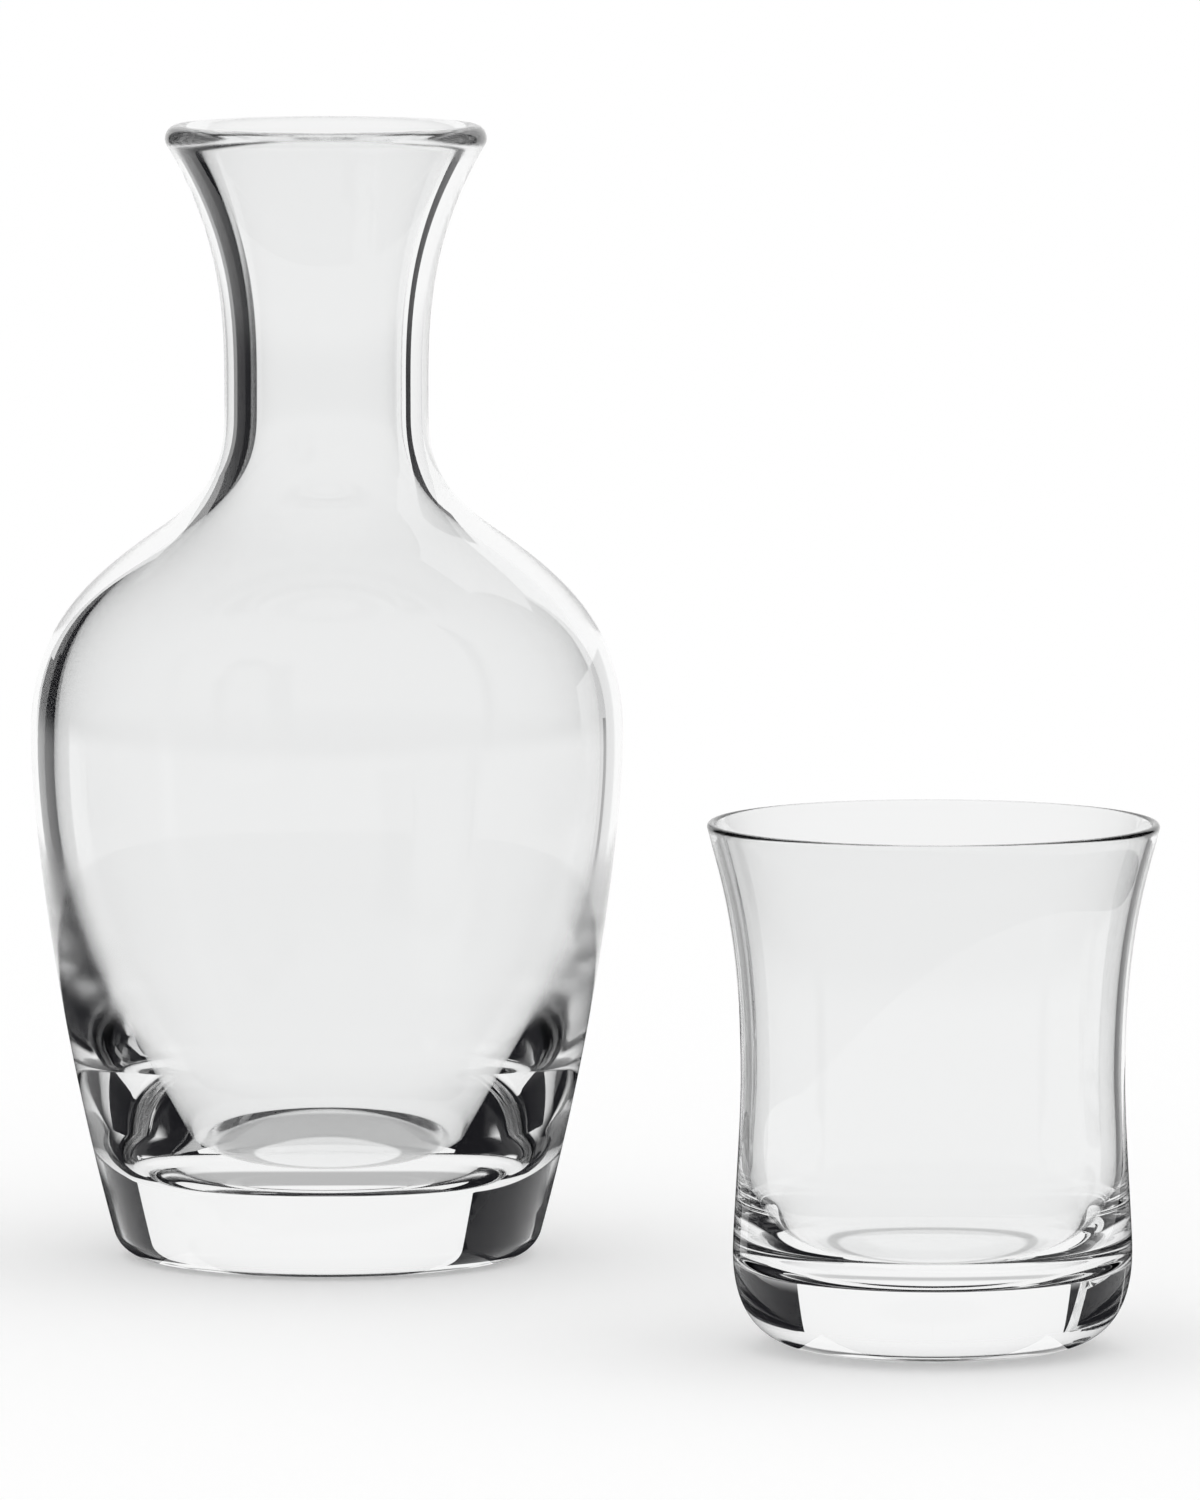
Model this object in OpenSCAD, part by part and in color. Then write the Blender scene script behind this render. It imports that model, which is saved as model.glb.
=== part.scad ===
// Bedside carafe with its tumbler standing beside it.
// Two separate pieces of clear glass, each turned about its own upright axis.
// The origin is the centre of the carafe's foot on the table, +Z is up.

/* [Carafe outside] */
// Diameter of the flat foot on the table
foot_d = 66.6; // [58:0.2:76]
// Radius of the rounded corner around the foot
foot_round = 6; // [3:0.5:9]
// Outward lean of the wall just above the foot, mm for each mm of height
foot_lean = 0.27; // [0.15:0.01:0.4]
// Diameter of the body at its widest
belly_d = 108; // [98:0.5:120]
// Height of the widest place above the table
belly_rise = 95.5; // [80:0.5:110]
// Diameter at the middle of the sloping shoulder
shoulder_d = 61.6; // [54:0.2:70]
// Height of the shoulder's middle above the widest place
shoulder_rise = 37.3; // [32:0.1:44]
// Inward slope of the shoulder's middle, mm for each mm of height
shoulder_slope = 1.45; // [1:0.05:1.7]
// Diameter of the neck at its narrowest
neck_d = 37.2; // [33:0.2:43]
// Height of the narrowest place above the shoulder's middle
neck_rise = 21; // [17:0.5:26]
// Diameter over the lip
lip_d = 58.5; // [50:0.5:66]
// Height of the top of the lip above the narrowest place
mouth_rise = 52.8; // [44:0.2:62]
// Outward lean of the flared mouth below the lip, mm for each mm of height
lip_lean = 0.6; // [0.4:0.05:0.8]

/* [Carafe glass] */
// Thickness of the solid glass base
base_t = 15.5; // [10:0.5:22]
// Diameter of the flat floor inside
floor_d = 32; // [20:1:44]
// Height of the bowl's heel, where the inside turns in to the floor, above the floor
bowl_rise = 10; // [7:0.5:16]
// Thickness of the wall at the bowl's heel
bowl_wall = 13.2; // [9:0.1:17]
// Outward lean of the inside at the bowl's heel, mm for each mm of height
bowl_lean = 0.55; // [0.35:0.01:0.7]
// Thickness of the wall at the widest place
belly_wall = 4.2; // [3:0.1:7]
// Thickness of the wall at the shoulder's middle
shoulder_wall = 3.5; // [2.5:0.1:6]
// Thickness of the wall at the neck
neck_wall = 4.8; // [3:0.1:6.5]
// Thickness of the wall at the lip, which is rounded right over
lip_wall = 5; // [3:0.1:6.5]

/* [Tumbler] */
// Room on each side between the waist's inside and the carafe's lip when the tumbler covers the mouth
cover_clear = 2.4; // [1:0.1:5]
// How far the upturned rim then comes down past the middle of the carafe's shoulder
cover_drop = 5.2; // [0:0.1:6]
// Diameter of the flat foot on the table
tumbler_foot_d = 40; // [30:1:46]
// Diameter of the bulge above the foot
bulge_d = 69.8; // [64:0.2:78]
// Height of the bulge above the table
bulge_rise = 16.8; // [12:0.2:21]
// Height of the waist above the bulge
waist_rise = 30.5; // [24:0.5:38]
// Diameter over the rim
rim_d = 79; // [72:0.5:88]
// Outward lean of the rim, mm for each mm of height
rim_lean = 0.23; // [0.1:0.01:0.4]
// Thickness of the solid glass base
tumbler_base_t = 13; // [9:0.5:18]
// Diameter of the flat floor inside
tumbler_floor_d = 36; // [24:1:46]
// Height of the inside's heel, where the wall turns in to the floor, above the floor
heel_rise = 18; // [10:0.5:22]
// Thickness of the wall at the heel
heel_wall = 2; // [1.4:0.1:4]
// Thickness of the wall at the waist
tumbler_wall = 1.9; // [1.4:0.1:3]
// Thickness of the wall at the rim, which is rounded right over
rim_wall = 1.5; // [1:0.1:2.4]

/* [Place of the tumbler] */
// Gap between the carafe's widest place and the tumbler's rim, seen from above
stand_gap = 70; // [20:1:120]
// Direction of the tumbler from the carafe, in degrees from +X
stand_turn = -48.7; // [-90:0.1:0]

/* [Fullness of the curves] */
// Each value is the share of a stretch over which the curve keeps the direction that it has at the named place
// Above the carafe's foot
foot_full = 0.41; // [0.2:0.01:0.5]
// Below the widest place
belly_full_below = 0.17; // [0.1:0.01:0.5]
// Above the widest place
belly_full_above = 0.49; // [0.2:0.01:0.5]
// Below the middle of the shoulder
shoulder_full_below = 0.27; // [0.1:0.01:0.4]
// Above the middle of the shoulder
shoulder_full_above = 0.31; // [0.1:0.01:0.4]
// Below the narrowest place of the neck
neck_full_below = 0.44; // [0.2:0.01:0.5]
// Above the narrowest place of the neck
neck_full_above = 0.29; // [0.2:0.01:0.5]
// Below the lip
lip_full = 0.38; // [0.2:0.01:0.5]
// Outwards from the carafe's floor
floor_full = 0.55; // [0.4:0.01:0.8]
// Below the bowl's heel inside the carafe
bowl_full_below = 0.5; // [0.3:0.01:0.7]
// Above the bowl's heel inside the carafe
bowl_full_above = 0.29; // [0.2:0.01:0.5]
// Below the widest place inside the carafe
belly_in_full = 0.45; // [0.2:0.01:0.5]
// Outwards along the tumbler's foot
tumbler_foot_full = 0.62; // [0.4:0.01:0.8]
// Below the tumbler's bulge
bulge_full_below = 0.7; // [0.4:0.01:0.8]
// Above the tumbler's bulge
bulge_full_above = 0.16; // [0.1:0.01:0.5]
// Below the tumbler's waist
waist_full_below = 0.3; // [0.2:0.01:0.5]
// Above the tumbler's waist
waist_full_above = 0.6; // [0.2:0.01:0.7]
// Below the tumbler's rim
rim_full = 0.16; // [0.1:0.01:0.4]
// Outwards along the tumbler's floor
tumbler_floor_full = 0.65; // [0.4:0.01:0.8]
// Below the heel inside the tumbler
heel_full_below = 0.6; // [0.4:0.01:0.8]
// Above the heel inside the tumbler
heel_full_above = 0.3; // [0.2:0.01:0.5]

/* [Hidden] */
$fn = 128;
curve_steps = 16;
corner_steps = 8;
lip_steps = 6;
glass_tint = [0.88, 0.93, 0.93, 0.4];

shoulder_z = belly_rise + shoulder_rise;
neck_z = shoulder_z + neck_rise;
carafe_h = neck_z + mouth_rise;
waist_z = bulge_rise + waist_rise;
waist_d = lip_d + 2 * cover_clear + 2 * tumbler_wall;
tumbler_depth = neck_rise + mouth_rise + cover_drop;
tumbler_h = tumbler_base_t + tumbler_depth;
stand_reach = belly_d / 2 + stand_gap + rim_d / 2;
stand_at = stand_reach * [cos(stand_turn), sin(stand_turn), 0];

// A station is one named place on a profile: [radius, height, lean, fullness below, fullness above]
function at(s) = [s[0], s[1]];
function heading(s) = [s[2], 1];

// The same station moved into the glass by a wall's thickness, square to the surface
function inset(s, wall) =
    let (depth = wall / norm(heading(s)))
    [s[0] - depth, s[1] + depth * s[2], s[2], s[3], s[4]];

// Points of a cubic curve after its start a, with handle points b and c and end d
function bend(a, b, c, d) =
    [for (i = [1:curve_steps])
        let (t = i / curve_steps, u = 1 - t)
        u^3 * a + 3 * u^2 * t * b + 3 * u * t^2 * c + t^3 * d];

// Curve from a lower station up to a higher one
function rise(low, high) =
    let (gap = high[1] - low[1])
    bend(at(low), at(low) + low[4] * gap * heading(low), at(high) - high[3] * gap * heading(high), at(high));

// Curve from a higher station down to a lower one
function fall(high, low) =
    let (gap = high[1] - low[1])
    bend(at(high), at(high) - high[3] * gap * heading(high), at(low) + low[4] * gap * heading(low), at(low));

// Quarter turn from a station down to the edge of a flat disc, at radius r and height z
function scoop(s, r, z, full) =
    bend(at(s), at(s) - s[3] * (s[1] - z) * heading(s), [r + full * (s[0] - r), z], [r, z]);

// The same quarter turn from a disc's edge up to a station
function round_up(r, z, full, s) =
    bend([r, z], [r + full * (s[0] - r), z], at(s) - s[3] * (s[1] - z) * heading(s), at(s));

// Radius of a wall, given as points from low to high, at height z
function wall_r(points, z) = lookup(z, [for (p = points) [p[1], p[0]]]);

// Outer station just below a lip of diameter d and height top, rounded over a wall of the given thickness
function under_lip(d, top, wall, lean, full) =
    let (tilt = atan(lean), round = wall / 2)
    [d / 2 - round + round * cos(tilt), top - round - round * sin(tilt), lean, full, full];

// Half circle over the lip, from the outer station to the inner one, with a point at its very top
function over_lip(d, top, wall, lean) =
    let (tilt = atan(lean), round = wall / 2)
    [for (i = [1:2 * lip_steps])
        let (t = i / lip_steps, a = t < 1 ? t * (90 + tilt) - tilt : 90 + (t - 1) * (90 - tilt))
        [d / 2 - round + round * cos(a), top - round + round * sin(a)]];

// Carafe stations
foot_tilt = atan(foot_lean);
foot_s = [foot_d / 2 + foot_round * cos(foot_tilt), foot_round - foot_round * sin(foot_tilt),
    foot_lean, foot_full, foot_full];
belly_s = [belly_d / 2, belly_rise, 0, belly_full_below, belly_full_above];
shoulder_s = [shoulder_d / 2, shoulder_z, -shoulder_slope, shoulder_full_below, shoulder_full_above];
neck_s = [neck_d / 2, neck_z, 0, neck_full_below, neck_full_above];
lip_s = under_lip(lip_d, carafe_h, lip_wall, lip_lean, lip_full);
wall_above_foot = concat([at(foot_s)], rise(foot_s, belly_s));
bowl_z = base_t + bowl_rise;
bowl_in = [wall_r(wall_above_foot, bowl_z) - bowl_wall, bowl_z, bowl_lean, bowl_full_below, bowl_full_above];
belly_in = [belly_d / 2 - belly_wall, belly_rise, 0, belly_in_full, belly_full_above];
shoulder_in = inset(shoulder_s, shoulder_wall);
neck_in = inset(neck_s, neck_wall);
lip_in = inset(lip_s, lip_wall);

// Rounded corner from the foot's edge up to the start of the wall
foot_corner = [for (i = [0:corner_steps])
    let (a = -90 + (90 - foot_tilt) * i / corner_steps)
    [foot_d / 2 + foot_round * cos(a), foot_round + foot_round * sin(a)]];

carafe_section = concat(
    [[0, 0]],
    foot_corner,
    rise(foot_s, belly_s),
    rise(belly_s, shoulder_s),
    rise(shoulder_s, neck_s),
    rise(neck_s, lip_s),
    over_lip(lip_d, carafe_h, lip_wall, lip_lean),
    fall(lip_in, neck_in),
    fall(neck_in, shoulder_in),
    fall(shoulder_in, belly_in),
    fall(belly_in, bowl_in),
    scoop(bowl_in, floor_d / 2, base_t, floor_full),
    [[0, base_t]]
);

// Tumbler stations
bulge_s = [bulge_d / 2, bulge_rise, 0, bulge_full_below, bulge_full_above];
waist_s = [waist_d / 2, waist_z, 0, waist_full_below, waist_full_above];
rim_s = under_lip(rim_d, tumbler_h, rim_wall, rim_lean, rim_full);
waist_in = inset(waist_s, tumbler_wall);
rim_in = inset(rim_s, rim_wall);
wall_above_bulge = concat([at(bulge_s)], rise(bulge_s, waist_s));
heel_z = tumbler_base_t + heel_rise;
heel_in = [wall_r(wall_above_bulge, heel_z) - heel_wall, heel_z, 0, heel_full_below, heel_full_above];

tumbler_section = concat(
    [[0, 0], [tumbler_foot_d / 2, 0]],
    round_up(tumbler_foot_d / 2, 0, tumbler_foot_full, bulge_s),
    rise(bulge_s, waist_s),
    rise(waist_s, rim_s),
    over_lip(rim_d, tumbler_h, rim_wall, rim_lean),
    fall(rim_in, waist_in),
    fall(waist_in, heel_in),
    scoop(heel_in, tumbler_floor_d / 2, tumbler_base_t, tumbler_floor_full),
    [[0, tumbler_base_t]]
);

// One-piece clear glass carafe with a heavy base, a round shoulder and a flared lip
module carafe() {
    color(glass_tint)
        rotate_extrude()
            polygon(carafe_section);
}

// One-piece clear glass tumbler with a heavy base, a waist and a flared rim
module tumbler() {
    color(glass_tint)
        translate(stand_at)
            rotate_extrude()
                polygon(tumbler_section);
}

carafe();
tumbler();
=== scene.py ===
"""Clear glass bedside carafe and the tumbler that stands beside it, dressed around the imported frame."""

import math
from collections import namedtuple

import bpy
import numpy as np
from bpy.props import FloatProperty, FloatVectorProperty, IntProperty, PointerProperty
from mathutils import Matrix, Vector


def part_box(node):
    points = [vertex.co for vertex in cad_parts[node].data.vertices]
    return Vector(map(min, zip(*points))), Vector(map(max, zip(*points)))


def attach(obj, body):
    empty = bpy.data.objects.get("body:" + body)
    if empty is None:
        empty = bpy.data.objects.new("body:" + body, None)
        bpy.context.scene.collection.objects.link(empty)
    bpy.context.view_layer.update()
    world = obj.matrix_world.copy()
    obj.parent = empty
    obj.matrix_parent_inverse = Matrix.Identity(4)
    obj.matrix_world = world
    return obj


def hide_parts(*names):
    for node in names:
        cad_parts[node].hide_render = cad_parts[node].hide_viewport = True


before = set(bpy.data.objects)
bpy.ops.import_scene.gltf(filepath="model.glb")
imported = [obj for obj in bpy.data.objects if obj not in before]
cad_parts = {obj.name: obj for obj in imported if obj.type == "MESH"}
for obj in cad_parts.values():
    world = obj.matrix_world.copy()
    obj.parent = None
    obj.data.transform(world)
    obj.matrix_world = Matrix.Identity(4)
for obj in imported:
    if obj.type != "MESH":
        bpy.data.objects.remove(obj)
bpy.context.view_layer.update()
CARAFE_LOW, CARAFE_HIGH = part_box("carafe")
TUMBLER_LOW, TUMBLER_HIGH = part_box("tumbler")
CARAFE_AXIS = ((CARAFE_LOW + CARAFE_HIGH) / 2).xy
TUMBLER_AXIS = ((TUMBLER_LOW + TUMBLER_HIGH) / 2).xy

bl_info = {
    "name": "Bedside Glassware",
    "version": (1, 0, 0),
    "blender": (4, 5, 0),
    "location": "3D View > Sidebar > Glassware",
    "description": "Builds a clear glass carafe and tumbler with a white studio around them",
    "category": "Add Mesh",
}

MM = 0.001
WHITE = (1.0, 1.0, 1.0, 1.0)
BLACK = (0.0, 0.0, 0.0, 1.0)

# Fewest mesh steps along a curve and across a flat disc, and how much finer a corner and a lip are.
CURVE_STEPS = 8
DISC_STEPS = 4
CORNER_FINER = 2
LIP_FINER = 12

# How fine the faint smears and the slow ripple are.
SMEAR_SCALE = 60.0
SMEAR_DETAIL = 3.0
RIPPLE_SCALE = 28.0
RIPPLE_DETAIL = 1.0

# Where the lip's soft finish starts and where it is full, in lip walls below the top.
LIP_START = 1.3
LIP_FULL = 0.6

# The floor and the sheets on it lie just under the feet, one above the other.
FLOOR_Z = -0.3 * MM
MAT_Z = -0.2 * MM
SHADE_Z = -0.15 * MM

# The camera's distance in front of the carafe's axis, its height, the point that it looks at, the pixels of
# the picture that one metre takes up there, the picture's longer side and the film's width in millimetres.
CAMERA_BACK = 2.733
CAMERA_RISE = 0.364
CAMERA_AIM = Vector((0.0498, 0.0, 0.0924))
PIXELS_PER_METRE = 5482
IMAGE_SIDE = 1500
FILM = 36.0

LAMP_SPREAD = math.radians(60)
LIGHT_BOUNCES = 32


def length(name, description, mm):
    """A size in metres, given in millimetres."""
    return FloatProperty(name=name, description=description, default=mm * MM, unit="LENGTH", precision=5)


def measured(name, description, metres):
    """A size in metres, as the frame has it."""
    return FloatProperty(name=name, description=description, default=metres, unit="LENGTH", precision=5)


def share(name, description, value):
    """A plain number from 0 to 1."""
    return FloatProperty(name=name, description=description, default=value, min=0.0, max=1.0,
                         subtype="FACTOR")


def bearing(name, description, degrees):
    """A direction on the floor, clockwise from straight back, given in degrees."""
    return FloatProperty(name=name, description=description, default=math.radians(degrees), subtype="ANGLE")


def slope(name, description, value):
    """A lean, as distance outwards for each unit of height."""
    return FloatProperty(name=name, description=description, default=value, soft_min=-2.0, soft_max=2.0)


class CarafeSizes(bpy.types.PropertyGroup):
    """Places on the carafe's outside, the thickness of its glass, and where its wall has a softer finish."""

    foot_d: length("Foot", "Diameter of the flat foot on the table", 66.6)
    foot_round: length("Foot corner", "Radius of the rounded corner around the foot", 6)
    foot_lean: slope("Foot lean", "Outward lean of the wall just above the foot", 0.27)
    belly_d: measured("Belly", "Diameter of the body at its widest", CARAFE_HIGH.x - CARAFE_LOW.x)
    belly_rise: length("Belly height", "Height of the widest place above the table", 95.5)
    shoulder_d: length("Shoulder", "Diameter at the middle of the sloping shoulder", 61.6)
    shoulder_rise: length("Shoulder rise", "Height of the shoulder's middle above the widest place", 37.3)
    shoulder_slope: slope("Shoulder slope", "Inward slope of the shoulder's middle", 1.45)
    neck_d: length("Neck", "Diameter of the neck at its narrowest", 37.2)
    neck_rise: length("Neck rise", "Height of the narrowest place above the shoulder's middle", 21)
    lip_d: length("Lip", "Diameter over the lip", 58.5)
    lip_lean: slope("Lip lean", "Outward lean of the flared mouth below the lip", 0.6)
    height: measured("Height", "Height over the lip", CARAFE_HIGH.z - CARAFE_LOW.z)
    base_t: length("Base", "Thickness of the solid glass base", 15.5)
    floor_d: length("Floor", "Diameter of the flat floor inside", 32)
    bowl_rise: length("Bowl rise", "Height above the floor where the inside turns up into the bowl", 10)
    bowl_wall: length("Bowl wall", "Thickness of the wall there, measured level", 13.2)
    bowl_lean: slope("Bowl lean", "Outward lean of the inside there", 0.55)
    belly_wall: length("Belly wall", "Thickness of the wall at the widest place", 4.2)
    shoulder_wall: length("Shoulder wall", "Thickness of the wall at the shoulder's middle", 3.5)
    neck_wall: length("Neck wall", "Thickness of the wall at the neck", 4.8)
    lip_wall: length("Lip wall", "Thickness of the wall at the lip, which is rounded right over", 5)
    turn_low: length("Turn from", "Height from which the thickening wall has its full soft finish", 50)
    turn_high: length("Turn to", "Height up to which it has that finish", 70)
    turn_fade: length("Turn fade", "Height over which the soft finish comes and goes", 10)


class CarafeCurves(bpy.types.PropertyGroup):
    """How far the carafe's curves keep their direction at each named place."""

    foot: share("Above foot", "Fullness of the curve above the foot", 0.41)
    belly_below: share("Below belly", "Fullness below the widest place", 0.17)
    belly_above: share("Above belly", "Fullness above the widest place", 0.49)
    shoulder_below: share("Below shoulder", "Fullness below the shoulder's middle", 0.27)
    shoulder_above: share("Above shoulder", "Fullness above the shoulder's middle", 0.31)
    neck_below: share("Below neck", "Fullness below the narrowest place", 0.44)
    neck_above: share("Above neck", "Fullness above the narrowest place", 0.29)
    lip: share("Below lip", "Fullness below the lip", 0.38)
    floor: share("Along floor", "Fullness outwards along the floor inside", 0.55)
    bowl_below: share("Below bowl", "Fullness where the bowl turns in to the floor", 0.5)
    bowl_above: share("Above bowl", "Fullness where the bowl rises", 0.29)
    belly_in: share("Down the inside", "Fullness down the inside from the widest place", 0.45)


class TumblerSizes(bpy.types.PropertyGroup):
    """Places on the tumbler's outside and the thickness of its glass."""

    foot_d: length("Foot", "Diameter of the flat foot on the table", 40)
    bulge_d: length("Bulge", "Diameter of the bulge above the foot", 69.8)
    bulge_rise: length("Bulge height", "Height of the bulge above the table", 16.8)
    waist_d: length("Waist", "Diameter of the waist", 67.1)
    waist_rise: length("Waist rise", "Height of the waist above the bulge", 30.5)
    rim_d: measured("Rim", "Diameter over the rim", TUMBLER_HIGH.x - TUMBLER_LOW.x)
    rim_lean: slope("Rim lean", "Outward lean of the rim", 0.23)
    height: measured("Height", "Height over the rim", TUMBLER_HIGH.z - TUMBLER_LOW.z)
    base_t: length("Base", "Thickness of the solid glass base", 13)
    floor_d: length("Floor", "Diameter of the flat floor inside", 36)
    heel_rise: length("Heel", "Height above the floor where the inside turns in to it", 18)
    heel_wall: length("Heel wall", "Thickness of the wall at the heel", 2)
    wall: length("Wall", "Thickness of the wall at the waist", 1.9)
    rim_wall: length("Rim wall", "Thickness of the wall at the rim, which is rounded right over", 1.5)


class TumblerCurves(bpy.types.PropertyGroup):
    """How far the tumbler's curves keep their direction at each named place."""

    foot: share("Along foot", "Fullness outwards along the foot", 0.62)
    bulge_below: share("Below bulge", "Fullness below the bulge", 0.7)
    bulge_above: share("Above bulge", "Fullness above the bulge", 0.16)
    waist_below: share("Below waist", "Fullness below the waist", 0.3)
    waist_above: share("Above waist", "Fullness above the waist", 0.6)
    rim: share("Below rim", "Fullness below the rim", 0.16)
    floor: share("Along floor", "Fullness outwards along the floor inside", 0.65)
    heel_below: share("Below heel", "Fullness below the heel", 0.6)
    heel_above: share("Above heel", "Fullness above the heel", 0.3)


class GlassLook(bpy.types.PropertyGroup):
    """The finish of the clear glass and the fineness of its meshes."""

    tint: FloatVectorProperty(name="Tint", description="Colour of the glass", subtype="COLOR",
                              default=(0.932, 0.935, 0.935), min=0.0, max=1.0)
    deep: share("Deep tint", "Share of the tint that is left at the bottom of the heavy base", 0.99)
    ior: FloatProperty(name="Refraction", description="Index of refraction", default=1.5, min=1.0, max=2.0)
    mirror: share("Mirror", "Strength of the reflection square to the surface, against plain glass", 0.45)
    polish: share("Polish", "Highest roughness of the fire-polished surface", 0.004)
    lip_soft: share("Lip softness", "Roughness of the lip, where the fire rounded it", 0.1)
    turn_soft: share("Turn softness", "Roughness of the carafe's wall where it thickens to the base", 0.1)
    ripple: length("Ripple", "Depth of the slow ripple that blowing leaves in the wall", 0.02)
    step: length("Mesh step", "Longest step of the mesh along a profile", 1.7)
    turns: IntProperty(name="Mesh turns", description="Steps of the mesh around the axis", default=256,
                       min=24)


class StageLook(bpy.types.PropertyGroup):
    """The white studio around the glass, its screens, and the cards whose painted reflections draw its edges.
    """

    floor_tone: FloatVectorProperty(name="Floor", description="Colour of the pale floor", subtype="COLOR",
                                    default=(0.86, 0.86, 0.86), min=0.0, max=1.0)
    floor_r: length("Floor reach", "Half the width of the floor", 6000)
    lamp_share: share("Lamp", "Share of the light that comes from the soft lamp overhead", 0.08)
    # The dark cards and fins glow in this tone as painted dark reflections; the screens are the dark
    # surround.
    screen_tone: FloatVectorProperty(name="Screens", description="Colour of the dark screens and cards",
                                     subtype="COLOR", default=(0.012, 0.012, 0.014), min=0.0, max=1.0)
    screen_r: length("Screen distance", "Distance of the tall screen from the carafe", 850)
    screen_h: length("Screen height", "Height of the tall screen", 850)
    screen_fade: length("Screen foot", "Height over which the screen darkens from white at the floor", 100)
    window_left: bearing("Window left", "Left edge of the white window behind the glass", -28)
    window_right: bearing("Window right", "Right edge of the white window behind the glass", 42)
    # The mat is a painted dark reflection, seen only by light mirrored in the glass.
    mat_r: length("Mat", "Radius of the dark mat that the glass mirrors", 350)
    # The grey and pale card tones are painted reflections, seen only by light mirrored in the glass.
    grey: share("Grey cards", "Tone of the grey cards", 0.27)
    pale: share("Pale cards", "Tone of the pale cards", 0.72)


Station = namedtuple("Station", "r z lean below above")


def at(s):
    """Radius and height of a station."""
    return np.array((s.r, s.z))


def heading(s):
    """Direction of the profile at a station, scaled to one unit of height."""
    return np.array((s.lean, 1.0))


def inset(s, wall):
    """The station moved into the glass by a wall's thickness, square to the surface."""
    depth = wall / math.hypot(s.lean, 1.0)
    return s._replace(r=s.r - depth, z=s.z + depth * s.lean)


def bend(a, b, c, d, step):
    """Cubic curve from a to d with handles b and c: (1-t)^3 a + 3(1-t)^2 t b + 3(1-t)t^2 c + t^3 d.

    The start a is left out, because the curve before it ends there.
    """
    reach = np.linalg.norm(b - a) + np.linalg.norm(c - b) + np.linalg.norm(d - c)
    count = max(CURVE_STEPS, math.ceil(reach / step))
    t = np.linspace(0.0, 1.0, count + 1)[1:, None]
    u = 1.0 - t
    return u ** 3 * a + 3 * u ** 2 * t * b + 3 * u * t ** 2 * c + t ** 3 * d


def rise(low, high, step):
    """Cubic curve from a lower station up to a higher one, each handle a share of the height between them."""
    gap = high.z - low.z
    return bend(at(low), at(low) + low.above * gap * heading(low),
                at(high) - high.below * gap * heading(high), at(high), step)


def fall(high, low, step):
    """The curve of rise, walked downwards."""
    gap = high.z - low.z
    return bend(at(high), at(high) - high.below * gap * heading(high),
                at(low) + low.above * gap * heading(low), at(low), step)


def scoop(s, r, z, full, step):
    """Cubic quarter turn from a station down to the edge of a flat disc, which it meets level."""
    edge = np.array((r, z))
    level = np.array((full * (s.r - r), 0.0))
    return bend(at(s), at(s) - s.below * (s.z - z) * heading(s), edge + level, edge, step)


def round_up(r, z, full, s, step):
    """The same quarter turn walked from the disc's edge up to the station."""
    edge = np.array((r, z))
    level = np.array((full * (s.r - r), 0.0))
    return bend(edge, edge + level, at(s) - s.below * (s.z - z) * heading(s), at(s), step)


def arc(centre, radius, start, end, step):
    """Circular arc after its start angle: centre + radius (cos a, sin a), angles in radians."""
    count = max(CURVE_STEPS, math.ceil(abs(end - start) * radius / step))
    a = np.linspace(start, end, count + 1)[1:]
    return np.array(centre) + radius * np.column_stack((np.cos(a), np.sin(a)))


def under_lip(diameter, top, wall, lean, full):
    """Outer station just below a lip that is rounded right over."""
    tilt = math.atan(lean)
    r = wall / 2
    return Station(diameter / 2 - r + r * math.cos(tilt), top - r - r * math.sin(tilt), lean, full, full)


def over_lip(diameter, top, wall, lean, step):
    """Half circle over the lip, from the outer station to the inner one."""
    tilt = math.atan(lean)
    r = wall / 2
    return arc((diameter / 2 - r, top - r), r, -tilt, math.pi - tilt, step / LIP_FINER)


def flat_disc(r, z, step):
    """Radii from the axis out to a flat disc's edge."""
    count = max(DISC_STEPS, math.ceil(r / (2 * step)))
    radii = np.linspace(0.0, r, count + 1)
    return np.column_stack((radii, np.full_like(radii, z)))


def carafe_profile(size, full, step):
    """Half section of the carafe: along the foot, up the outside, over the lip and down the inside."""
    tilt = math.atan(size.foot_lean)
    corner = (size.foot_d / 2, size.foot_round)
    fine = step / CORNER_FINER
    foot = Station(size.foot_d / 2 + size.foot_round * math.cos(tilt),
                   size.foot_round * (1 - math.sin(tilt)), size.foot_lean, full.foot, full.foot)
    belly = Station(size.belly_d / 2, size.belly_rise, 0.0, full.belly_below, full.belly_above)
    shoulder = Station(size.shoulder_d / 2, belly.z + size.shoulder_rise, -size.shoulder_slope,
                       full.shoulder_below, full.shoulder_above)
    neck = Station(size.neck_d / 2, shoulder.z + size.neck_rise, 0.0, full.neck_below, full.neck_above)
    lip = under_lip(size.lip_d, size.height, size.lip_wall, size.lip_lean, full.lip)
    belly_in = inset(belly, size.belly_wall)._replace(below=full.belly_in)
    shoulder_in = inset(shoulder, size.shoulder_wall)
    neck_in = inset(neck, size.neck_wall)
    lip_in = inset(lip, size.lip_wall)
    wall = rise(foot, belly, step)
    bowl_z = size.base_t + size.bowl_rise
    bowl_r = np.interp(bowl_z, wall[:, 1], wall[:, 0]) - size.bowl_wall
    bowl_in = Station(bowl_r, bowl_z, size.bowl_lean, full.bowl_below, full.bowl_above)
    return np.vstack((
        flat_disc(size.foot_d / 2, 0.0, step),
        arc(corner, size.foot_round, -math.pi / 2, -tilt, fine),
        wall,
        rise(belly, shoulder, step),
        rise(shoulder, neck, step),
        rise(neck, lip, step),
        over_lip(size.lip_d, size.height, size.lip_wall, size.lip_lean, step),
        fall(lip_in, neck_in, step),
        fall(neck_in, shoulder_in, step),
        fall(shoulder_in, belly_in, step),
        fall(belly_in, bowl_in, step),
        scoop(bowl_in, size.floor_d / 2, size.base_t, full.floor, fine),
        flat_disc(size.floor_d / 2, size.base_t, step)[-2::-1],
    ))


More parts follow.
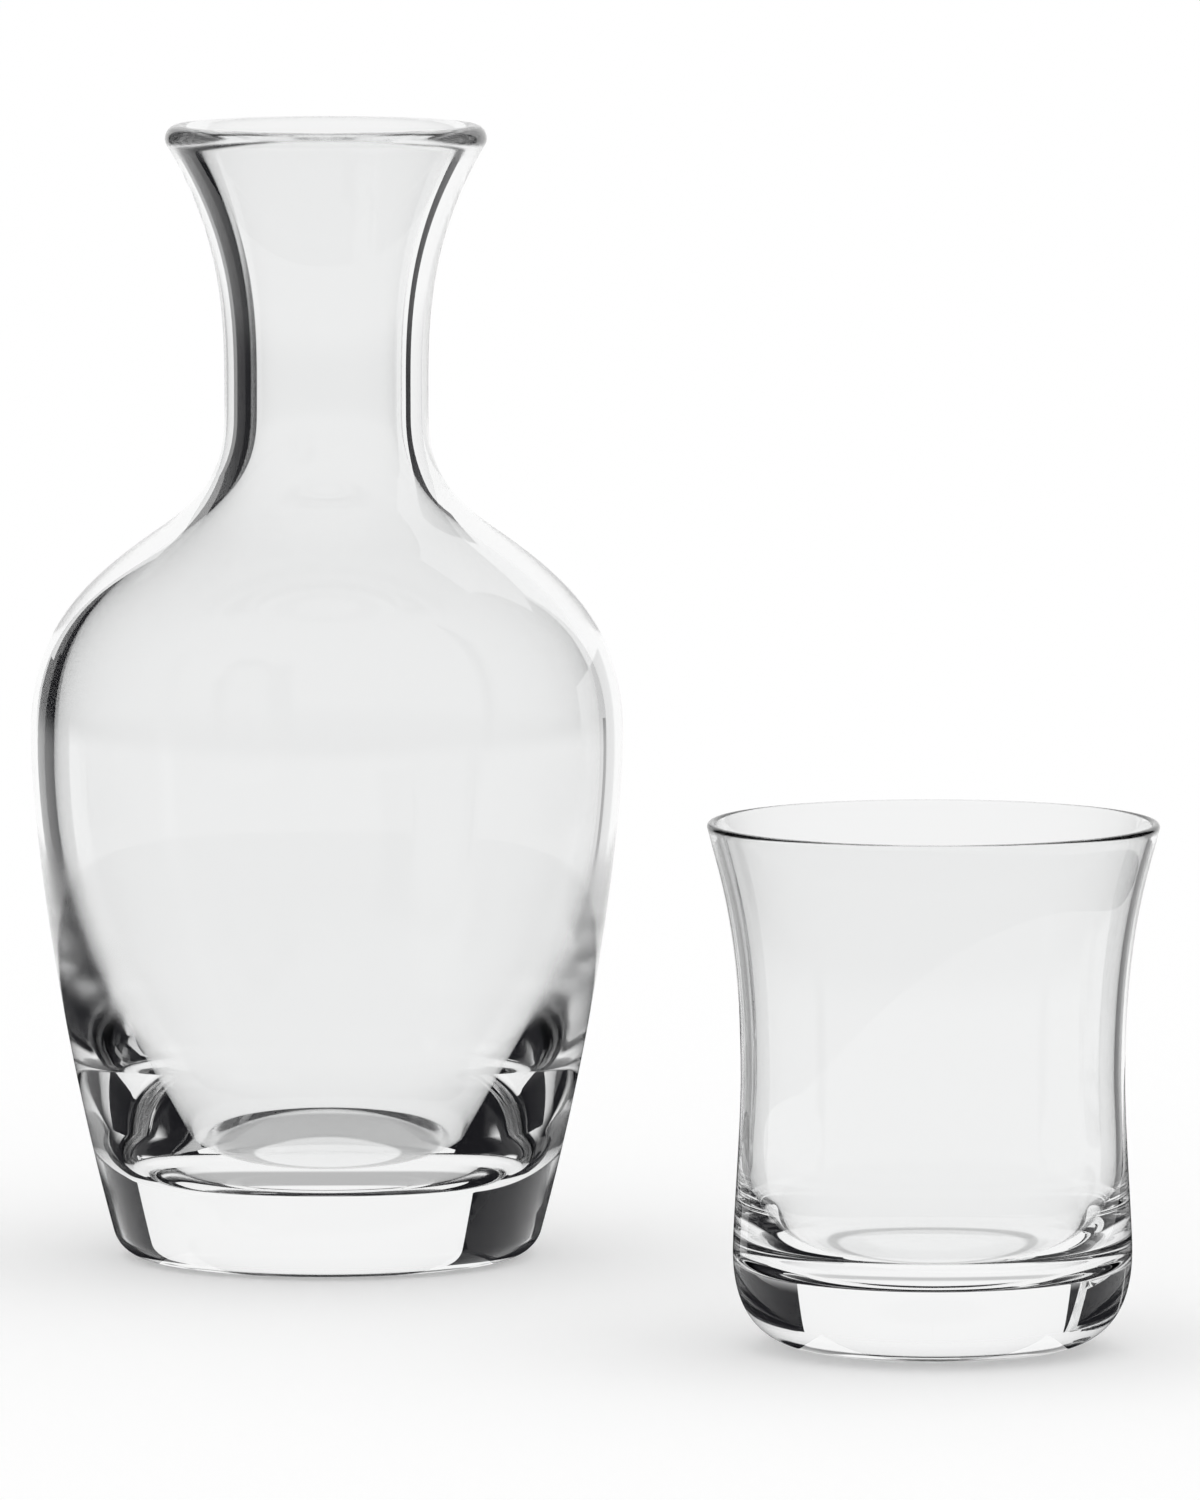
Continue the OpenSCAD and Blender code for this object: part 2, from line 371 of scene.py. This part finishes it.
def tumbler_profile(size, full, step):
    """Half section of the tumbler, in the same order as the carafe's."""
    fine = step / CORNER_FINER
    bulge = Station(size.bulge_d / 2, size.bulge_rise, 0.0, full.bulge_below, full.bulge_above)
    waist = Station(size.waist_d / 2, bulge.z + size.waist_rise, 0.0, full.waist_below, full.waist_above)
    rim = under_lip(size.rim_d, size.height, size.rim_wall, size.rim_lean, full.rim)
    waist_in = inset(waist, size.wall)
    rim_in = inset(rim, size.rim_wall)
    wall = rise(bulge, waist, step)
    heel_z = size.base_t + size.heel_rise
    heel_r = np.interp(heel_z, wall[:, 1], wall[:, 0]) - size.heel_wall
    heel_in = Station(heel_r, heel_z, 0.0, full.heel_below, full.heel_above)
    return np.vstack((
        flat_disc(size.foot_d / 2, 0.0, step),
        round_up(size.foot_d / 2, 0.0, full.foot, bulge, fine),
        wall,
        rise(waist, rim, step),
        over_lip(size.rim_d, size.height, size.rim_wall, size.rim_lean, step),
        fall(rim_in, waist_in, step),
        fall(waist_in, heel_in, step),
        scoop(heel_in, size.floor_d / 2, size.base_t, full.floor, fine),
        flat_disc(size.floor_d / 2, size.base_t, step)[-2::-1],
    ))


def outside(profile):
    """The part of a profile from the axis under the foot to the top of the lip."""
    return profile[:np.argmax(profile[:, 1]) + 1]


def spin(name, profile, place, turns):
    """Closed surface of a profile carried round an upright axis: (x, y, z) = place + (r cos a, r sin a, z).

    The profile's first and last points lie on the axis and become single pole vertices.
    """
    a = np.linspace(0.0, 2 * math.pi, turns, endpoint=False)
    ring = profile[1:-1]
    rows = len(ring)
    grid = np.empty((rows, turns, 3))
    grid[..., 0] = ring[:, :1] * np.cos(a)
    grid[..., 1] = ring[:, :1] * np.sin(a)
    grid[..., 2] = ring[:, 1:]
    poles = np.array(((0.0, 0.0, profile[0, 1]), (0.0, 0.0, profile[-1, 1])))
    points = np.vstack((grid.reshape(-1, 3), poles)) + np.array(place)
    index = np.arange(rows * turns).reshape(rows, turns)
    after = np.roll(index, -1, axis=1)
    quads = np.stack((index[:-1], after[:-1], after[1:], index[1:]), axis=-1).reshape(-1, 4)
    first, last = rows * turns, rows * turns + 1
    under = np.stack((after[0], index[0], np.full(turns, first)), axis=-1)
    inside = np.stack((index[-1], after[-1], np.full(turns, last)), axis=-1)
    corners = np.concatenate((quads.ravel(), under.ravel(), inside.ravel()))
    sides = np.concatenate((np.full(len(quads), 4), np.full(2 * turns, 3)))
    starts = np.concatenate(((0,), np.cumsum(sides)[:-1]))
    mesh = bpy.data.meshes.new(name)
    mesh.vertices.add(len(points))
    mesh.vertices.foreach_set("co", points.astype(np.float32).ravel())
    mesh.loops.add(len(corners))
    mesh.loops.foreach_set("vertex_index", corners.astype(np.int32))
    mesh.polygons.add(len(sides))
    mesh.polygons.foreach_set("loop_start", starts.astype(np.int32))
    mesh.polygons.foreach_set("use_smooth", np.ones(len(sides), bool))
    mesh.update(calc_edges=True)
    if mesh.validate():
        raise RuntimeError(f"{name}: the spun surface had bad faces")
    return mesh


def shown(mesh):
    """A new object for a mesh, at the origin of the frame."""
    obj = bpy.data.objects.new(mesh.name, mesh)
    bpy.context.scene.collection.objects.link(obj)
    return obj


class Value:
    """A shader socket whose arithmetic adds Math nodes."""

    def __init__(self, web, socket):
        self.web, self.socket = web, socket

    def _math(self, operation, left, right):
        return self.web.node("ShaderNodeMath", {"operation": operation}, {0: left, 1: right})

    def __add__(self, other):
        return self._math("ADD", self, other)

    def __sub__(self, other):
        return self._math("SUBTRACT", self, other)

    def __rsub__(self, other):
        return self._math("SUBTRACT", other, self)

    def __mul__(self, other):
        return self._math("MULTIPLY", self, other)

    def highest(self, other):
        return self._math("MAXIMUM", self, other)

    def lowest(self, other):
        return self._math("MINIMUM", self, other)

    def smooth(self, low, high):
        """0 at low, 1 at high and an even curve between."""
        return self.web.node("ShaderNodeMapRange", {"interpolation_type": "SMOOTHSTEP"},
                             {"Value": self, "From Min": low, "From Max": high})

    __radd__ = __add__
    __rmul__ = __mul__


class Web:
    """The nodes of one material or world."""

    def __init__(self, tree):
        self.tree = tree
        tree.nodes.clear()

    def node(self, kind, settings=None, sockets=None, out=0):
        """Adds a node, its settings first, then its sockets' values or links. Gives one of its outputs."""
        made = self.tree.nodes.new(kind)
        for key, value in (settings or {}).items():
            setattr(made, key, value)
        for key, value in (sockets or {}).items():
            if isinstance(value, Value):
                self.tree.links.new(value.socket, made.inputs[key])
            else:
                made.inputs[key].default_value = value
        return Value(self, made.outputs[out]) if made.outputs else made

    def mix(self, factor, first, second):
        """The first colour at 0, the second at 1."""
        return self.node("ShaderNodeMix", {"data_type": "RGBA"}, {0: factor, 6: first, 7: second}, out=2)

    def glow(self, colour):
        """Plain light of one colour."""
        return self.node("ShaderNodeEmission", sockets={"Color": colour, "Strength": 1.0})

    def surface(self, shader):
        """Ends a material with its shader."""
        self.node("ShaderNodeOutputMaterial", sockets={"Surface": shader})


def new_material(name):
    """A new material and its empty web of nodes."""
    material = bpy.data.materials.new(name)
    material.use_nodes = True
    return material, Web(material.node_tree)


def clear_glass(name, look, size, lip_wall, turn=None):
    """Clear fire-polished glass with a faint tint that deepens in the base, and a slow ripple.

    The finish is softer on the lip. Where turn is given, as the lowest and highest height and the fade, it is
    softer there too.
    """
    material, web = new_material(name)
    place = web.node("ShaderNodeTexCoord", out="Object")
    height = web.node("ShaderNodeSeparateXYZ", sockets={0: place}, out="Z")
    pale = (*look.tint, 1.0)
    deep = (*(c * look.deep for c in look.tint), 1.0)
    smear = web.node("ShaderNodeTexNoise", sockets={"Vector": place, "Scale": SMEAR_SCALE,
                                                    "Detail": SMEAR_DETAIL})
    lip = height.smooth(size.height - LIP_START * lip_wall, size.height - LIP_FULL * lip_wall)
    finish = smear * look.polish + lip * look.lip_soft
    if turn:
        low, high, fade = turn
        band = height.smooth(low - fade, low) * height.smooth(high + fade, high)
        finish = finish + band * look.turn_soft
    swell = web.node("ShaderNodeTexNoise", sockets={"Vector": place, "Scale": RIPPLE_SCALE,
                                                    "Detail": RIPPLE_DETAIL})
    wave = web.node("ShaderNodeBump", sockets={"Height": swell, "Distance": look.ripple, "Strength": 1.0})
    web.surface(web.node("ShaderNodeBsdfPrincipled", sockets={
        "Base Color": web.mix(height.smooth(size.base_t, 0.0), pale, deep),
        "Roughness": finish,
        "IOR": look.ior,
        "Specular Tint": (look.mirror, look.mirror, look.mirror, 1.0),
        "Transmission Weight": 1.0,
        "Normal": wave,
    }))
    return material


def glass_ray(web):
    """1 for rays that mirror in the glass or pass through it."""
    glossy = web.node("ShaderNodeLightPath", out="Is Glossy Ray")
    through = web.node("ShaderNodeLightPath", out="Is Transmission Ray")
    return glossy.highest(through)


def seen_ray(web):
    """1 for rays from the camera and for those of the glass, 0 for the light that falls on things."""
    return web.node("ShaderNodeLightPath", out="Is Camera Ray").highest(glass_ray(web))


class GLASSWARE_OT_carafe(bpy.types.Operator):
    """Build the clear glass carafe over its frame solid"""

    bl_idname = "glassware.carafe"
    bl_label = "Carafe"

    def execute(self, context):
        look = context.scene.glass_look
        size = context.scene.carafe_sizes
        profile = carafe_profile(size, context.scene.carafe_curves, look.step)
        mesh = spin("carafe_glass", profile, (*CARAFE_AXIS, CARAFE_LOW.z), look.turns)
        turn = (size.turn_low, size.turn_high, size.turn_fade)
        mesh.materials.append(clear_glass("carafe clear glass", look, size, size.lip_wall, turn))
        piece = shown(mesh)
        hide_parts("carafe")
        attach(piece, "carafe")
        return {"FINISHED"}


class GLASSWARE_OT_tumbler(bpy.types.Operator):
    """Build the clear glass tumbler over its frame solid"""

    bl_idname = "glassware.tumbler"
    bl_label = "Tumbler"

    def execute(self, context):
        look = context.scene.glass_look
        size = context.scene.tumbler_sizes
        profile = tumbler_profile(size, context.scene.tumbler_curves, look.step)
        mesh = spin("tumbler_glass", profile, (*TUMBLER_AXIS, TUMBLER_LOW.z), look.turns)
        mesh.materials.append(clear_glass("tumbler clear glass", look, size, size.rim_wall))
        piece = shown(mesh)
        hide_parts("tumbler")
        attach(piece, "tumbler")
        return {"FINISHED"}


Card = namedtuple("Card", "name tone side behind gap width low high")
Fin = namedtuple("Fin", "name tone feet low high")
Shade = namedtuple("Shade", "name inner outer depth")

# The cards' glowing tones are painted reflections, seen only by light mirrored in the glass.
# Upright cards beside each piece, in millimetres. The side is -1 on the left and 1 on the right. Behind is
# counted from the axis, gap and width run out from the outline, and low and high are heights.
CARAFE_CARDS = (
    Card("belly_flag", "dark", -1, 10, 5, 35, 20, 110),
    Card("belly_right_line", "grey", 1, 9.5, 11, 2.4, 45, 98),
    Card("belly_right_card", "pale", 1, 10, 5, 35, 45, 112),
    Card("neck_left_flag", "dark", -1, 6, 3, 35, 146, 206),
    Card("neck_left_card", "grey", -1, 16, 4, 35, 146, 206),
    Card("neck_right_flag", "dark", 1, 12, 11, 8, 146, 206),
    Card("neck_right_card", "white", 1, 12, 19.2, 35, 146, 206),
)
TUMBLER_CARDS = (
    Card("tumbler_left_card", "grey", -1, 8, 4, 30, 20, 86),
    Card("tumbler_right_flag", "dark", 1, 8, 4, 30, 20, 86),
)
CARD_ROWS = 24

# The fins' tones paint the dark blocks in the solid bases, seen only in the glass.
# Small fins close behind each base, in millimetres, with their feet counted from the piece's axis.
CARAFE_FINS = (
    Fin("carafe_left_fin", "dark", ((-18, 35.8), (-18.12, 40), (-18.45, 45)), 0, 9),
    Fin("carafe_right_fin", "dark", ((18, 35.8), (18, 40), (18.15, 45)), 0, 9),
)
TUMBLER_FINS = (
    Fin("tumbler_middle_fin", "base", ((0.79, 35.6), (0.93, 42)), 12, 18),
)

# Rings of contact shade under the feet: both radii in millimetres, and how much of the white is lost. Each
# ring fades in and out between these shares of its radii, on a square that reaches a little past it.
CARAFE_SHADE = Shade("carafe_shade", 15.5, 29, 0.45)
TUMBLER_SHADE = Shade("tumbler_shade", 19, 22.5, 0.35)
INNER_FADE = (0.94, 1.04)
OUTER_FADE = (1.03, 0.95)
SHADE_REACH = 1.05

# Light that has come through this many surfaces of glass has crossed a hollow.
HOLLOW_SURFACES = 3.0

BEARING_STEP = math.radians(4)
ONE_FACE = [(0, 1, 2, 3)]


def square(reach, z):
    """Corners of a level square about the middle of the frame."""
    return [(-reach, -reach, z), (reach, -reach, z), (reach, reach, z), (-reach, reach, z)]


def around(centre, start, end, distance):
    """Points on a circle on the floor: centre + distance (sin b, cos b), for bearings b from start to end."""
    count = max(2, math.ceil(abs(end - start) / BEARING_STEP) + 1)
    b = np.linspace(start, end, count)
    return np.array(centre) + distance * np.column_stack((np.sin(b), np.cos(b)))


def strip_faces(count):
    """Four-sided faces between two rows of count points, the second after the first."""
    i = np.arange(count - 1)
    return np.column_stack((i, i + 1, i + 1 + count, i + count))


def stage_sheet(name, material, points, faces):
    """A thin sheet of the studio, which is no part of the object."""
    mesh = bpy.data.meshes.new(name)
    mesh.from_pydata(np.asarray(points).tolist(), [], np.asarray(faces).tolist())
    mesh.materials.append(material)
    sheet = shown(mesh)
    return sheet


def in_glass_only(name, material, points, faces):
    """A sheet that shows in the glass, and neither to the camera nor as light or shadow."""
    sheet = stage_sheet(name, material, points, faces)
    sheet.visible_camera = False
    sheet.visible_diffuse = False
    sheet.visible_shadow = False
    return sheet


def upright(name, material, feet, low, high):
    """Upright strip over a row of points on the floor, between two heights."""
    count = len(feet)
    points = np.vstack([np.column_stack((feet, np.full(count, z))) for z in (low, high)])
    in_glass_only(name, material, points, strip_faces(count))


def studio_floor(look):
    """Pale floor just under the feet, with soft shadow to the eye and plain white through the glass."""
    material, web = new_material("pale floor")
    matt = web.node("ShaderNodeBsdfDiffuse", sockets={"Color": (*look.floor_tone, 1.0)})
    camera = web.node("ShaderNodeLightPath", out="Is Camera Ray")
    lift = (*(1.0 - c for c in look.floor_tone), 1.0)
    lit = web.node("ShaderNodeAddShader", sockets={0: matt, 1: web.glow(web.mix(camera, BLACK, lift))})
    web.surface(web.node("ShaderNodeMixShader", sockets={0: glass_ray(web), 1: lit, 2: web.glow(WHITE)}))
    stage_sheet("studio_floor", material, square(look.floor_r, FLOOR_Z), ONE_FACE)


def cloth(name, tone, fade=0.0):
    """Even tone, but white to light that the floor scattered.

    With a fade it is white at the floor, and has its full tone from that height up.
    """
    material, web = new_material(name)
    pale = web.node("ShaderNodeLightPath", out="Diffuse Depth").lowest(1.0)
    if fade:
        place = web.node("ShaderNodeTexCoord", out="Object")
        height = web.node("ShaderNodeSeparateXYZ", sockets={0: place}, out="Z")
        pale = pale.highest(height.smooth(fade, 0.0))
    web.surface(web.glow(web.mix(pale, (*tone, 1.0), WHITE)))
    return material


def painted_glass_band(name, tone, in_base=False):
    """Painted reflection: a glowing tone for light that was mirrored in the glass, and clear for the rest.

    In_base turns that round into painted dark refraction: the tone is for light bent into one piece of glass
    and out of it again, without a mirror, as in a solid base, and what was mirrored or crossed a hollow finds
    it clear.
    """
    material, web = new_material(name)
    shows = web.node("ShaderNodeLightPath", out="Glossy Depth")
    if in_base:
        surfaces = web.node("ShaderNodeLightPath", out="Transmission Depth")
        shows = (HOLLOW_SURFACES - surfaces) - shows
    clear = web.node("ShaderNodeBsdfTransparent")
    tinted = web.glow((*tone, 1.0))
    web.surface(web.node("ShaderNodeMixShader", sockets={0: shows.lowest(1.0), 1: clear, 2: tinted}))
    return material


def painted_band_tones(look):
    """The painted reflection tones of the cards and fins, by the name of their tone."""
    return {
        "dark": painted_glass_band("painted dark reflection", look.screen_tone),
        "base": painted_glass_band("painted dark base", look.screen_tone, in_base=True),
        "grey": painted_glass_band("painted grey reflection", (look.grey, look.grey, look.grey)),
        "pale": painted_glass_band("painted pale reflection", (look.pale, look.pale, look.pale)),
        "white": painted_glass_band("painted white reflection", WHITE[:3]),
    }


def painted_edge_band(card, tones, outline, centre):
    """Upright card beside a piece, cut along its outline at a gap. Its tone paints a reflected band on the
    glass's edge.
    """
    z = np.linspace(card.low * MM, card.high * MM, CARD_ROWS)
    near = np.interp(z, outline[:, 1], outline[:, 0]) + card.gap * MM
    far = near + card.width * MM
    y = np.full(CARD_ROWS, centre.y + card.behind * MM)
    points = np.vstack([np.column_stack((centre.x + card.side * x, y, z)) for x in (near, far)])
    sheet = in_glass_only(card.name, tones[card.tone], points, strip_faces(CARD_ROWS))
    sheet.visible_glossy = False


def painted_base_block(fin, tones, centre):
    """Small fin behind a base, whose tone paints the dark blocks in it: a painted dark reflection and
    refraction.
    """
    feet = np.array(centre) + np.array(fin.feet) * MM
    upright(fin.name, tones[fin.tone], feet, fin.low * MM, fin.high * MM)


def foot_shade(shade, centre):
    """Contact shade on the floor under a foot, as a soft ring between two radii."""
    material, web = new_material(f"{shade.name} tone")
    place = web.node("ShaderNodeTexCoord", out="Object")
    r = web.node("ShaderNodeVectorMath", {"operation": "LENGTH"}, {0: place}, out="Value")
    inner = [f * shade.inner * MM for f in INNER_FADE]
    outer = [f * shade.outer * MM for f in OUTER_FADE]
    tone = 1.0 - shade.depth
    web.surface(web.glow(web.mix(r.smooth(*inner) * r.smooth(*outer), WHITE, (tone, tone, tone, 1.0))))
    sheet = in_glass_only(shade.name, material, square(SHADE_REACH * shade.outer * MM, 0.0), ONE_FACE)
    sheet.location = (*centre, SHADE_Z)


def tall_screens(look):
    """Dark screen all round but for the window behind, its roof, and a mat that paints dark reflections in
    the glass.
    """
    dark = cloth("dark screen", look.screen_tone)
    soft = cloth("soft screen", look.screen_tone, look.screen_fade)
    whole_turn = 2 * math.pi
    feet = around(CARAFE_AXIS, look.window_right, look.window_left + whole_turn, look.screen_r)
    upright("tall_screen", soft, feet, 0.0, look.screen_h)
    in_glass_only("roof_screen", dark, square(look.screen_r, look.screen_h), ONE_FACE)
    # The mat is a painted dark reflection: only light mirrored in the glass sees it.
    rim = around(CARAFE_AXIS, 0.0, whole_turn - BEARING_STEP, look.mat_r)
    points = np.column_stack((rim, np.full(len(rim), MAT_Z)))
    mat = in_glass_only("painted_reflection_mat", dark, points, [range(len(rim))])
    mat.visible_transmission = False


def close_cards(look, carafe, tumbler):
    """The cards and fins that paint reflections in the glass, and the contact shades, close to both pieces,
    given their outlines.
    """
    tones = painted_band_tones(look)
    for outline, centre, cards, fins, shade in (
        (carafe, CARAFE_AXIS, CARAFE_CARDS, CARAFE_FINS, CARAFE_SHADE),
        (tumbler, TUMBLER_AXIS, TUMBLER_CARDS, TUMBLER_FINS, TUMBLER_SHADE),
    ):
        for card in cards:
            painted_edge_band(card, tones, outline, centre)
        for fin in fins:
            painted_base_block(fin, tones, centre)
        foot_shade(shade, centre)


def white_world(look):
    """White to the eye and in the glass. As light on the floor it leaves out the lamp's share."""
    world = bpy.data.worlds.new("white studio")
    bpy.context.scene.world = world
    world.use_nodes = True
    web = Web(world.node_tree)
    light = 1.0 - look.lamp_share
    colour = web.mix(seen_ray(web), (light, light, light, 1.0), WHITE)
    glow = web.node("ShaderNodeBackground", sockets={"Color": colour, "Strength": 1.0})
    web.node("ShaderNodeOutputWorld", sockets={"Surface": glow})


def soft_lamp(look):
    """Wide soft lamp overhead, which the glass itself doesn't mirror."""
    data = bpy.data.lights.new("soft_lamp", "SUN")
    data.angle = LAMP_SPREAD
    data.energy = look.lamp_share * math.pi
    lamp = bpy.data.objects.new("soft_lamp", data)
    lamp.visible_glossy = False
    lamp.visible_transmission = False
    bpy.context.scene.collection.objects.link(lamp)


def photo_camera():
    """Long lens a little above the lip, aimed at the middle of the pair."""
    focal_px = PIXELS_PER_METRE * math.hypot(CAMERA_BACK, CAMERA_RISE - CAMERA_AIM.z)
    data = bpy.data.cameras.new("photo_camera")
    data.sensor_width = FILM
    data.lens = focal_px / IMAGE_SIDE * FILM
    data.dof.use_dof = False
    camera = bpy.data.objects.new("photo_camera", data)
    camera.location = (CAMERA_AIM.x, -CAMERA_BACK, CAMERA_RISE)
    camera.rotation_mode = "QUATERNION"
    camera.rotation_quaternion = (CAMERA_AIM - camera.location).to_track_quat("-Z", "Y")
    bpy.context.scene.collection.objects.link(camera)
    bpy.context.scene.camera = camera


class GLASSWARE_OT_stage(bpy.types.Operator):
    """Set the white floor, screens, cards, lamp, world and camera"""

    bl_idname = "glassware.stage"
    bl_label = "Stage"

    def execute(self, context):
        scene = context.scene
        look = scene.stage_look
        step = scene.glass_look.step
        carafe = carafe_profile(scene.carafe_sizes, scene.carafe_curves, step)
        tumbler = tumbler_profile(scene.tumbler_sizes, scene.tumbler_curves, step)
        studio_floor(look)
        tall_screens(look)
        close_cards(look, outside(carafe), outside(tumbler))
        white_world(look)
        soft_lamp(look)
        photo_camera()
        scene.view_settings.view_transform = "Standard"
        scene.cycles.max_bounces = LIGHT_BOUNCES
        scene.cycles.transmission_bounces = LIGHT_BOUNCES
        scene.cycles.glossy_bounces = LIGHT_BOUNCES
        return {"FINISHED"}


class GLASSWARE_PT_panel(bpy.types.Panel):
    """Builds the glassware and its studio"""

    bl_label = "Glassware"
    bl_idname = "GLASSWARE_PT_panel"
    bl_space_type = "VIEW_3D"
    bl_region_type = "UI"
    bl_category = "Glassware"

    def draw(self, context):
        for operator in OPERATORS:
            self.layout.operator(operator.bl_idname)
        for name in GROUPS:
            group = getattr(context.scene, name)
            box = self.layout.box()
            box.label(text=name.replace("_", " ").capitalize())
            for key in group.__annotations__:
                box.prop(group, key)


GROUPS = {
    "carafe_sizes": CarafeSizes,
    "carafe_curves": CarafeCurves,
    "tumbler_sizes": TumblerSizes,
    "tumbler_curves": TumblerCurves,
    "glass_look": GlassLook,
    "stage_look": StageLook,
}
OPERATORS = (GLASSWARE_OT_carafe, GLASSWARE_OT_tumbler, GLASSWARE_OT_stage)
CLASSES = (*GROUPS.values(), *OPERATORS, GLASSWARE_PT_panel)


def register():
    for cls in CLASSES:
        bpy.utils.register_class(cls)
    for name, group in GROUPS.items():
        setattr(bpy.types.Scene, name, PointerProperty(type=group))


def unregister():
    for name in GROUPS:
        delattr(bpy.types.Scene, name)
    for cls in reversed(CLASSES):
        bpy.utils.unregister_class(cls)


def main():
    """Build every piece and the stage."""
    register()
    bpy.ops.glassware.carafe()
    bpy.ops.glassware.tumbler()
    bpy.ops.glassware.stage()


if __name__ == "__main__":
    main()
